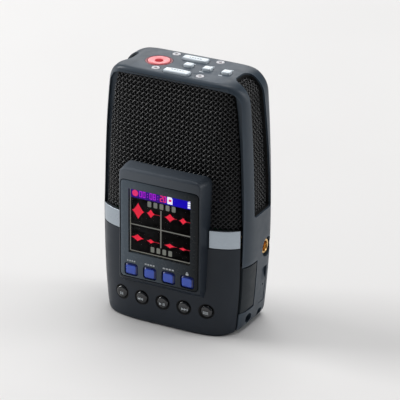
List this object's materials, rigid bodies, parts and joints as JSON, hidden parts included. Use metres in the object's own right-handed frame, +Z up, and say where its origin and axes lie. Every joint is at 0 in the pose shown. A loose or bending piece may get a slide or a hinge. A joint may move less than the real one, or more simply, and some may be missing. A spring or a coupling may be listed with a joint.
{
  "type": "portable field recorder",
  "caption": "Hand-held audio recorder with woven-wire microphone grilles all round, a raised front display housing, push buttons on the front and top, and a battery cover at the back.",
  "frame": {"origin": "centre of the flat bottom face, on the surface that the recorder stands on", "axes": "+Z up, -Y out of the display, +X to the viewer's right when the display is faced"},
  "size_m": [0.0678, 0.0364, 0.1088],
  "materials": {
    "case_plastic": "fine satin moulding texture",
    "cover_plastic": "fine satin moulding texture",
    "grille_wire": "black painted woven wire",
    "band_metal": "satin",
    "lens": "gloss",
    "display": "dark display with a lit picture",
    "blue_key": "translucent blue",
    "dark_key": "gloss",
    "record_key": "translucent, lit red",
    "record_ring": "dark red translucent",
    "white_key": "translucent white",
    "circuit_board": "solder mask",
    "cell_jacket": "printed foil jacket",
    "black_plastic": "plain",
    "foam": "open acoustic foam",
    "steel": "plain",
    "gold": "gold plated"
  },
  "bodies": {
    "case": {"main_frame": "case_plastic", "front_cover": "cover_plastic", "front_grille": "grille_wire", "rear_grille": "grille_wire", "left_grille": "grille_wire", "right_grille": "grille_wire", "front_band_left": "band_metal", "front_band_right": "band_metal", "rear_band": "band_metal", "wind_foam": "foam", "display_lens": "lens", "lcd_module": "display", "record_ring": "record_ring", "indicator_1": "white_key", "indicator_2": "white_key", "indicator_3": "white_key", "indicator_4": "white_key", "key_board": "circuit_board", "main_board": "circuit_board", "top_board": "circuit_board", "aa_cell_1": "cell_jacket", "aa_cell_2": "cell_jacket", "battery_tray": "black_plastic", "mic_cradle": "black_plastic", "memory_card": "black_plastic", "contact_plate": "steel", "contact_spring_1": "steel", "contact_spring_2": "steel", "card_socket": "steel", "usb_socket": "steel", "mic_front": "steel", "mic_rear": "steel", "mic_side": "steel", "speaker": "steel", "case_screw_1": "steel", "case_screw_2": "steel", "board_screw_1": "steel", "board_screw_2": "steel", "line_jack": "gold", "phones_jack": "gold", "tripod_nut": "gold"},
    "function_key_1": {"function_button_1": "blue_key"},
    "function_key_2": {"function_button_2": "blue_key"},
    "function_key_3": {"function_button_3": "blue_key"},
    "function_key_4": {"function_button_4": "blue_key"},
    "transport_key_1": {"transport_button_1": "dark_key"},
    "transport_key_2": {"transport_button_2": "dark_key"},
    "transport_key_3": {"transport_button_3": "dark_key"},
    "transport_key_4": {"transport_button_4": "dark_key"},
    "transport_key_5": {"transport_button_5": "dark_key"},
    "record_key": {"record_button": "record_key"},
    "front_mic_key": {"front_mic_button": "white_key"},
    "rear_mic_key": {"rear_mic_button": "white_key"},
    "pattern_key_1": {"pattern_button_1": "white_key"},
    "pattern_key_2": {"pattern_button_2": "white_key"},
    "pattern_key_3": {"pattern_button_3": "white_key"},
    "rocker": {"volume_rocker": "cover_plastic"},
    "switch": {"power_switch": "black_plastic"},
    "door": {"card_door": "cover_plastic"},
    "rear_cover": {"battery_cover": "cover_plastic"}
  },
  "joints": [
    {"name": "function_button_1_press", "type": "slide", "parent": "case", "child": "function_key_1", "axis": [0, 1, 0], "range_m": [0, 0.0006], "stiffness_N_per_m": 300},
    {"name": "function_button_2_press", "type": "slide", "parent": "case", "child": "function_key_2", "axis": [0, 1, 0], "range_m": [0, 0.0006], "stiffness_N_per_m": 300},
    {"name": "function_button_3_press", "type": "slide", "parent": "case", "child": "function_key_3", "axis": [0, 1, 0], "range_m": [0, 0.0006], "stiffness_N_per_m": 300},
    {"name": "function_button_4_press", "type": "slide", "parent": "case", "child": "function_key_4", "axis": [0, 1, 0], "range_m": [0, 0.0006], "stiffness_N_per_m": 300},
    {"name": "transport_button_1_press", "type": "slide", "parent": "case", "child": "transport_key_1", "axis": [0, 1, 0], "range_m": [0, 0.0006], "stiffness_N_per_m": 300},
    {"name": "transport_button_2_press", "type": "slide", "parent": "case", "child": "transport_key_2", "axis": [0, 1, 0], "range_m": [0, 0.0006], "stiffness_N_per_m": 300},
    {"name": "transport_button_3_press", "type": "slide", "parent": "case", "child": "transport_key_3", "axis": [0, 1, 0], "range_m": [0, 0.0006], "stiffness_N_per_m": 300},
    {"name": "transport_button_4_press", "type": "slide", "parent": "case", "child": "transport_key_4", "axis": [0, 1, 0], "range_m": [0, 0.0006], "stiffness_N_per_m": 300},
    {"name": "transport_button_5_press", "type": "slide", "parent": "case", "child": "transport_key_5", "axis": [0, 1, 0], "range_m": [0, 0.0006], "stiffness_N_per_m": 300},
    {"name": "record_button_press", "type": "slide", "parent": "case", "child": "record_key", "axis": [0, 0, -1], "range_m": [0, 0.0006], "stiffness_N_per_m": 300},
    {"name": "front_mic_button_press", "type": "slide", "parent": "case", "child": "front_mic_key", "axis": [0, 0, -1], "range_m": [0, 0.0006], "stiffness_N_per_m": 300},
    {"name": "rear_mic_button_press", "type": "slide", "parent": "case", "child": "rear_mic_key", "axis": [0, 0, -1], "range_m": [0, 0.0006], "stiffness_N_per_m": 300},
    {"name": "pattern_button_1_press", "type": "slide", "parent": "case", "child": "pattern_key_1", "axis": [0, 0, -1], "range_m": [0, 0.0006], "stiffness_N_per_m": 300},
    {"name": "pattern_button_2_press", "type": "slide", "parent": "case", "child": "pattern_key_2", "axis": [0, 0, -1], "range_m": [0, 0.0006], "stiffness_N_per_m": 300},
    {"name": "pattern_button_3_press", "type": "slide", "parent": "case", "child": "pattern_key_3", "axis": [0, 0, -1], "range_m": [0, 0.0006], "stiffness_N_per_m": 300},
    {"name": "volume_rock", "type": "hinge", "parent": "case", "child": "rocker", "pos_m": [0.0315, 0.011, 0.016], "axis": [0, 1, 0], "range_deg": [-2.5, 2.5], "stiffness_Nm_per_rad": 0.05},
    {"name": "power_switch_slide", "type": "slide", "parent": "case", "child": "switch", "axis": [0, 0, 1], "range_m": [0, 0.003]},
    {"name": "card_door_open", "type": "hinge", "parent": "case", "child": "door", "pos_m": [0.031, 0, 0.0106], "axis": [0, 1, 0], "range_deg": [0, 100]},
    {"name": "battery_cover_slide", "type": "slide", "parent": "case", "child": "rear_cover", "axis": [0, 0, -1], "range_m": [0, 0.034]}
  ]
}
